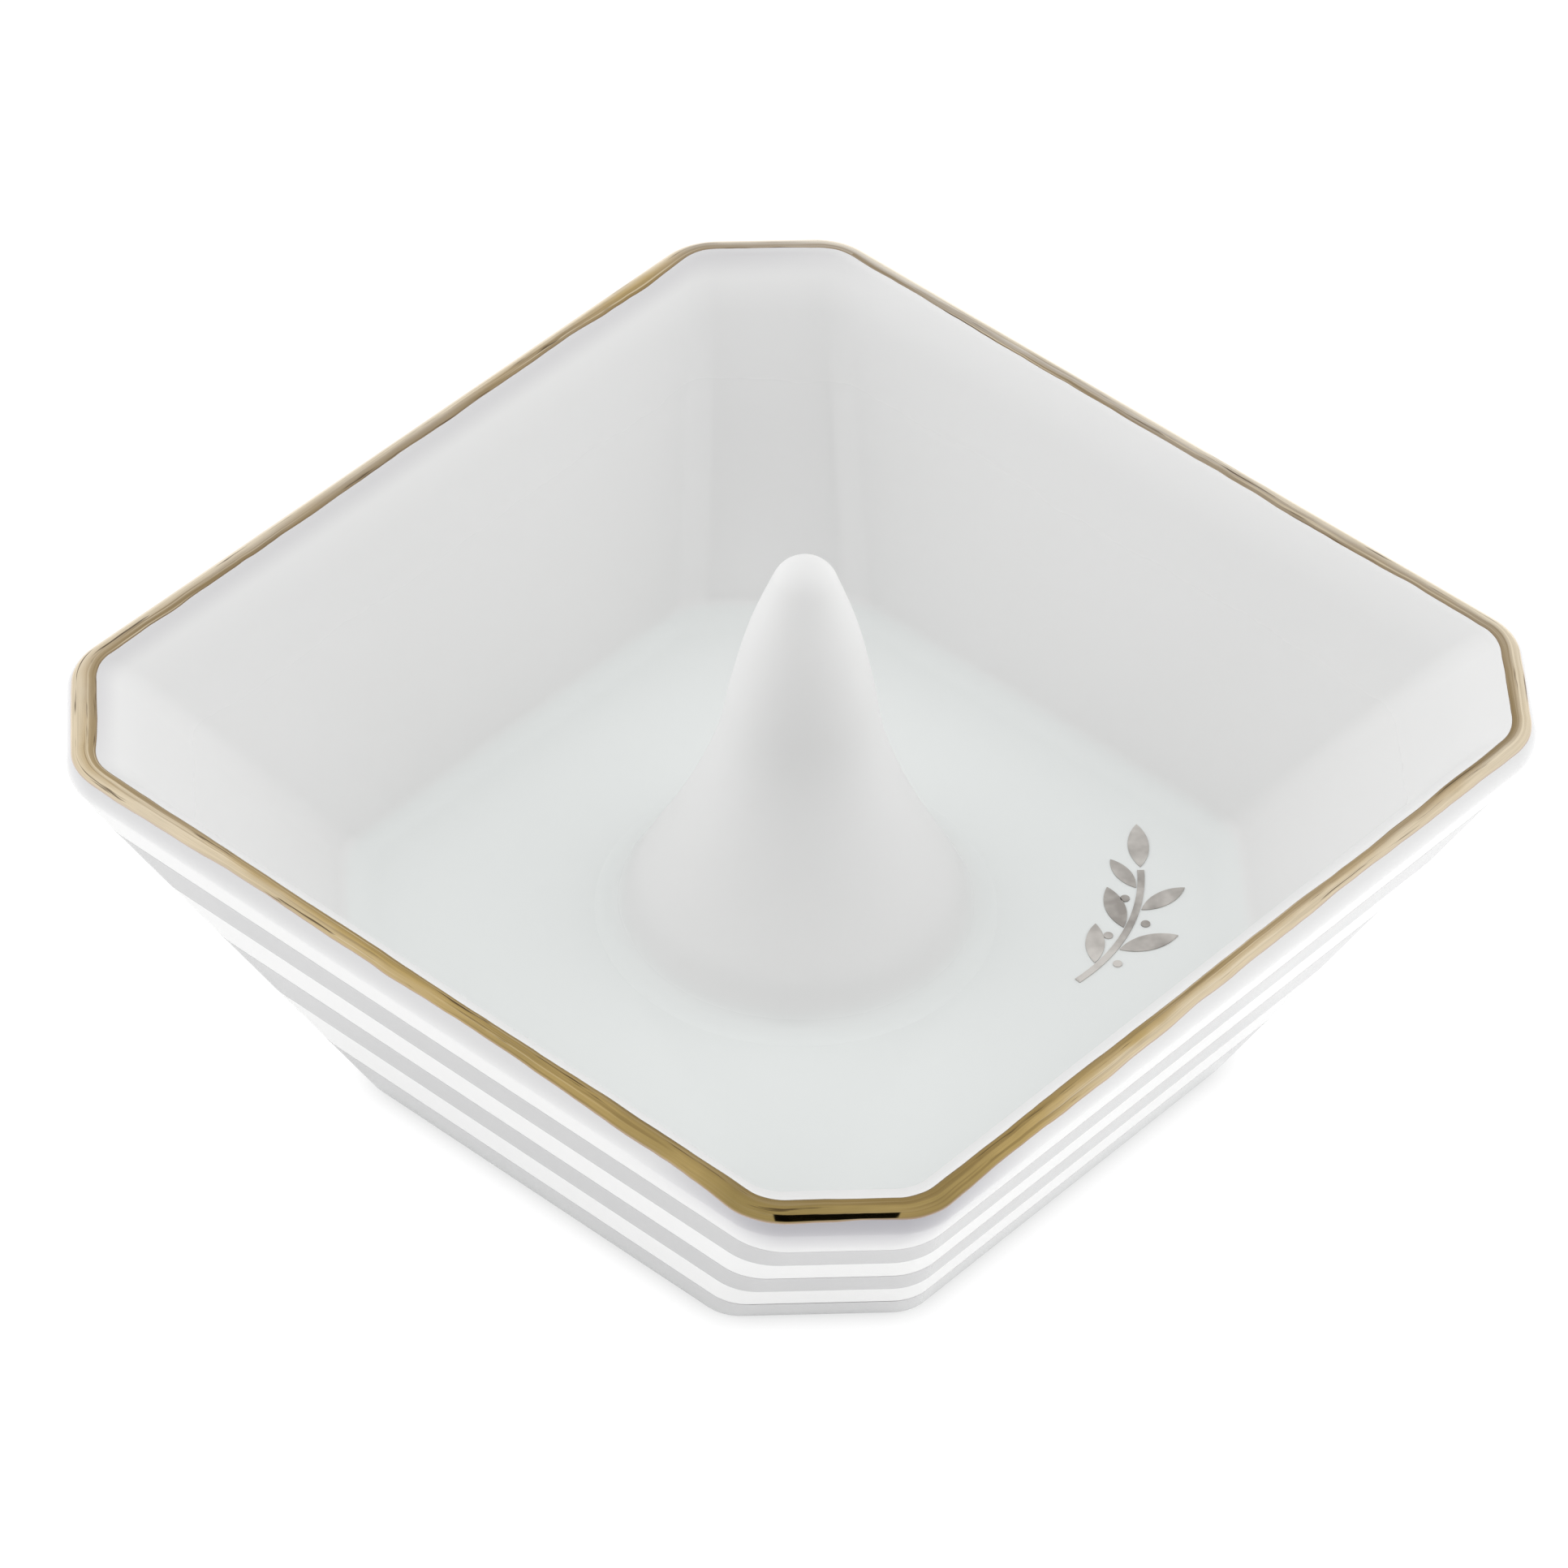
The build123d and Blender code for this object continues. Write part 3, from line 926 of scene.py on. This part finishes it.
dish = makeDish(dishForm, [glaze, bare])
print("dish made", len(dish.data.polygons), "faces")
cone = makeCone(coneForm, [glaze])
print("cone made", len(cone.data.polygons), "faces")
for node, number in stripeForm["nodes"].items():
    makeStripe(stripeForm, node, number, [grey])
print("stripes made")
gilt = makeGilt(giltForm, [gold])
print("gilt band made", len(gilt.data.polygons), "faces")
for name in ("sprig_stem", "sprig_leaves", "sprig_berries"):
    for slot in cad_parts[name].material_slots:
        slot.material = silver
print("print dressed")


# Stage: a white table that keeps the shadow, and soft light all round

stageLook = {
    "tableSize": 4000.0,
    "tableWhite": 0.62,
    "tableGlow": 0.64,
    "glowFade": (-1.0, 0.8),  # mm past the foot over which it sets in
    "leftShare": 0.88,  # of the glow, on the left of the picture
    "leftSpan": (-60.0, 60.0),  # mm from left to right over which that ends
    "frontShare": 0.87,  # of the glow, in front of the dish
    "frontSpan": (15.0, 70.0),
    "tableShadow": 0.15,  # how strongly soft shadows show in the picture
    "tableSeen": 0.95,
    "paintedContactShadow": 0.24,  # painted contact shadow: what it loses beside the foot, and over how many mm
    "contactShadowWidth": 2.6,
    "skyLevel": 0.114,  # strength all round, then what is added towards a way
    "skyHigh": -0.03,
    "skyTop": 0.995,
    "skyRight": -0.02,
    "skySides": 1.65,
    "skyFront": -0.11,
}


def mixShader(wire, factor, first, second):
    return wire.make("ShaderNodeMixShader", inputs={0: factor, 1: first, 2: second})


def sideAndFront(wire, vector):
    # How far a vector goes to the right of the photograph and out of it, over the table
    bearing = math.radians(cameraView["bearing"])
    right = (-math.sin(bearing), math.cos(bearing), 0)
    out = (math.cos(bearing), math.sin(bearing), 0)
    return [vectorMaths(wire, "DOT_PRODUCT", vector, way, output=1) for way in (right, out)]


def tableTop(look):
    material, wire, place = newMaterial("tableWhite")

    def toned(kind, level):
        return wire.make(kind, inputs={"Color": (level, level, level, 1)})

    def glowing(level, glow):
        white = toned("ShaderNodeBsdfDiffuse", level)
        return wire.make("ShaderNodeAddShader", inputs={0: white, 1: glow})

    # What lights the dish: white that glows, less on the left and in front, not under the foot
    past = reachPast(wire, place, dishForm["footHalfWidth"], dishForm["cutFoot"])
    side, front = sideAndFront(wire, place)
    clear = fadeOver(wire, past, look["glowFade"], 0.0, 1.0)
    clear = clear * fadeOver(wire, side, look["leftSpan"], look["leftShare"], 1.0)
    clear = clear * fadeOver(wire, front, look["frontSpan"], 1.0, look["frontShare"])
    dark, bright = (toned("ShaderNodeEmission", level) for level in (0.0, look["tableGlow"]))
    lights = glowing(look["tableWhite"], mixShader(wire, clear, dark, bright))

    # What the camera sees: nearly white, with the shadow, and a painted contact shadow where the
    # foot meets it
    sockets = {0: past, 1: 0.0, 2: look["contactShadowWidth"] * mm, 3: 1.0, 4: 0.0}
    contactShadow = wire.make("ShaderNodeMapRange", inputs=sockets)
    levels = (look["tableSeen"], look["tableSeen"] - look["paintedContactShadow"])
    pale, shadowed = (toned("ShaderNodeEmission", level) for level in levels)
    shown = glowing(look["tableShadow"], mixShader(wire, contactShadow * contactShadow, pale, shadowed))
    cameraRay = wire.make("ShaderNodeLightPath", output="Is Camera Ray")
    surface = mixShader(wire, cameraRay, lights, shown)
    wire.make("ShaderNodeOutputMaterial", inputs={"Surface": surface})
    return material


def makeTable(look):
    bm = bmesh.new()
    bmesh.ops.create_grid(bm, x_segments=1, y_segments=1, size=look["tableSize"] / 2 * mm)
    table = newObject("table", bm, [tableTop(look)])


# What stands dark behind the camera, as the gilt mirrors it

cardLook = {
    "bearing": 220.0,
    "elevation": 43.0,
    "distance": 1300.0,
    "width": 460.0,
    "height": 940.0,
    "margin": 0.1,  # share of its size over which it fades out
    "weave": 300.0,
    "darkest": 0.004,
    "lightest": 0.012,
}


def darkCloth(look):
    material, wire, place = newMaterial("darkCloth")
    weave = speckle(wire, place, look["weave"])
    colour = blendColour(wire, weave, (look["darkest"],) * 3, (look["lightest"],) * 3)
    cloth = wire.make("ShaderNodeBsdfDiffuse", inputs={"Color": colour})
    clear = wire.make("ShaderNodeBsdfTransparent")
    card = wire.make("ShaderNodeUVMap", {"uv_map": "card"})
    inset = 0.5
    for number in range(2):
        across = axisOf(wire, card, number)
        inset = wire.maths("MINIMUM", inset, 0.5 - wire.maths("ABSOLUTE", across - 0.5))
    solid = fadeBetween(wire, inset, 0.0, look["margin"], 0.0, 1.0)
    surface = mixShader(wire, solid, clear, cloth)
    wire.make("ShaderNodeOutputMaterial", inputs={"Surface": surface})
    return material


def makeCard(look):
    bm = bmesh.new()
    bm.loops.layers.uv.new("card")
    bmesh.ops.create_grid(bm, x_segments=1, y_segments=1, size=0.5, calc_uvs=True)
    bmesh.ops.scale(bm, vec=(look["width"] * mm, look["height"] * mm, 1), verts=bm.verts)
    bearing, elevation = math.radians(look["bearing"]), math.radians(look["elevation"])
    turn = Matrix.Rotation(bearing + math.pi / 2, 4, "Z")
    turn = turn @ Matrix.Rotation(math.pi / 2 - elevation, 4, "X")
    away = Matrix.Translation((0, 0, look["distance"] * mm))
    bmesh.ops.transform(bm, matrix=turn @ away, verts=bm.verts)
    piece = newObject("darkCard", bm, [darkCloth(look)])
    piece.visible_camera = piece.visible_diffuse = False
    piece.visible_transmission = piece.visible_shadow = False


def makeSky(look):
    # White where it is seen or mirrored; what lights the dish comes most from above and the sides
    world = bpy.data.worlds.new("softLight")
    world.use_nodes = True
    tree = world.node_tree
    tree.nodes.clear()
    wire = Wire(tree)
    way = wire.make("ShaderNodeTexCoord", output="Generated")
    side, front = sideAndFront(wire, way)
    height = wire.maths("MAXIMUM", axisOf(wire, way, 2), 0.0)
    level = look["skyLevel"] + height * look["skyHigh"] + height * height * look["skyTop"]
    level = level + side * look["skyRight"] + side * side * look["skySides"]
    level = level + front * look["skyFront"]
    level = wire.maths("MAXIMUM", level, 0.0)
    light, seen = (
        wire.make("ShaderNodeBackground", inputs={"Color": (1, 1, 1, 1), "Strength": strength})
        for strength in (level, 1.0)
    )
    camera, glossy, through = (
        wire.make("ShaderNodeLightPath", output=f"Is {kind} Ray")
        for kind in ("Camera", "Glossy", "Transmission")
    )
    shown = wire.maths("MAXIMUM", wire.maths("MAXIMUM", camera, glossy), through)
    surface = mixShader(wire, shown, light, seen)
    wire.make("ShaderNodeOutputWorld", inputs={"Surface": surface})
    bpy.context.scene.world = world


makeTable(stageLook)
makeCard(cardLook)
makeSky(stageLook)
bpy.context.scene.view_settings.view_transform = "Standard"
print("stage set")
